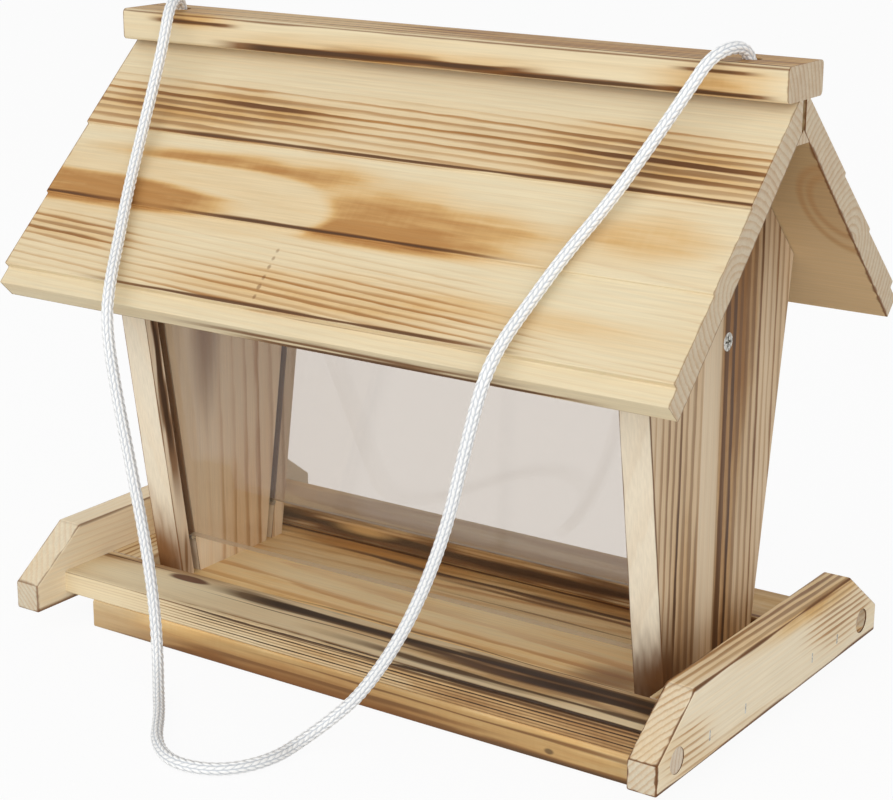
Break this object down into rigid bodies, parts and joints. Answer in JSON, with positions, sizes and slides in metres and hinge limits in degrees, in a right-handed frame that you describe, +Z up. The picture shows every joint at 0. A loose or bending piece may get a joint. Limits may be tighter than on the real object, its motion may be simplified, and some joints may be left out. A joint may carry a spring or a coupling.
{
  "type": "bird feeding house",
  "caption": "Wooden bird feeder with a stepped gable roof that lifts along its hanging cord, clear slanted panes in grooved end walls and an open seed tray with end rails.",
  "frame": {"origin": "on the surface the house stands on, under the middle of the floor board", "axes": "+X along the ridge, -Y to the front, +Z up"},
  "size_m": [0.302, 0.2483, 0.2543],
  "materials": {
    "tray_wood": "flamed, unvarnished",
    "rail_wood": "flamed, unvarnished",
    "plug_wood": "plain",
    "wall_wood": "flamed, unvarnished",
    "roof_wood": "flamed, unvarnished",
    "ridge_wood": "flamed, unvarnished",
    "clear_pane": "clear",
    "steel": "zinc plated",
    "cord": "braided"
  },
  "bodies": {
    "house": {"floor_board": "tray_wood", "front_tray_plank": "tray_wood", "rear_tray_plank": "tray_wood", "left_end_strip": "tray_wood", "right_end_strip": "tray_wood", "left_end_rail": "rail_wood", "right_end_rail": "rail_wood", "rail_staples": "steel", "rail_plugs": "plug_wood", "left_wall": "wall_wood", "right_wall": "wall_wood", "wall_foot_screws": "steel", "tray_plank_screws": "steel", "crossbar": "wall_wood", "crossbar_screws": "steel", "pane_stop_pins": "steel", "cord_tails": "cord", "cord_knots": "cord"},
    "roof": {"front_roof_plank": "roof_wood", "rear_roof_plank": "roof_wood", "ridge_fillet": "ridge_wood", "ridge_board": "ridge_wood", "ridge_screws": "steel", "cord_loop": "cord"},
    "front_pane": {"front_pane": "clear_pane"},
    "rear_pane": {"rear_pane": "clear_pane"}
  },
  "joints": [
    {"name": "roof_lift", "type": "slide", "parent": "house", "child": "roof", "axis": [0, 0, 1], "range_m": [0, 0.1]},
    {"name": "front_pane_slide", "type": "slide", "parent": "house", "child": "front_pane", "axis": [0, -0.1532, 0.9882], "range_m": [0, 0.012]},
    {"name": "rear_pane_slide", "type": "slide", "parent": "house", "child": "rear_pane", "axis": [0, 0.1532, 0.9882], "range_m": [0, 0.012]}
  ]
}
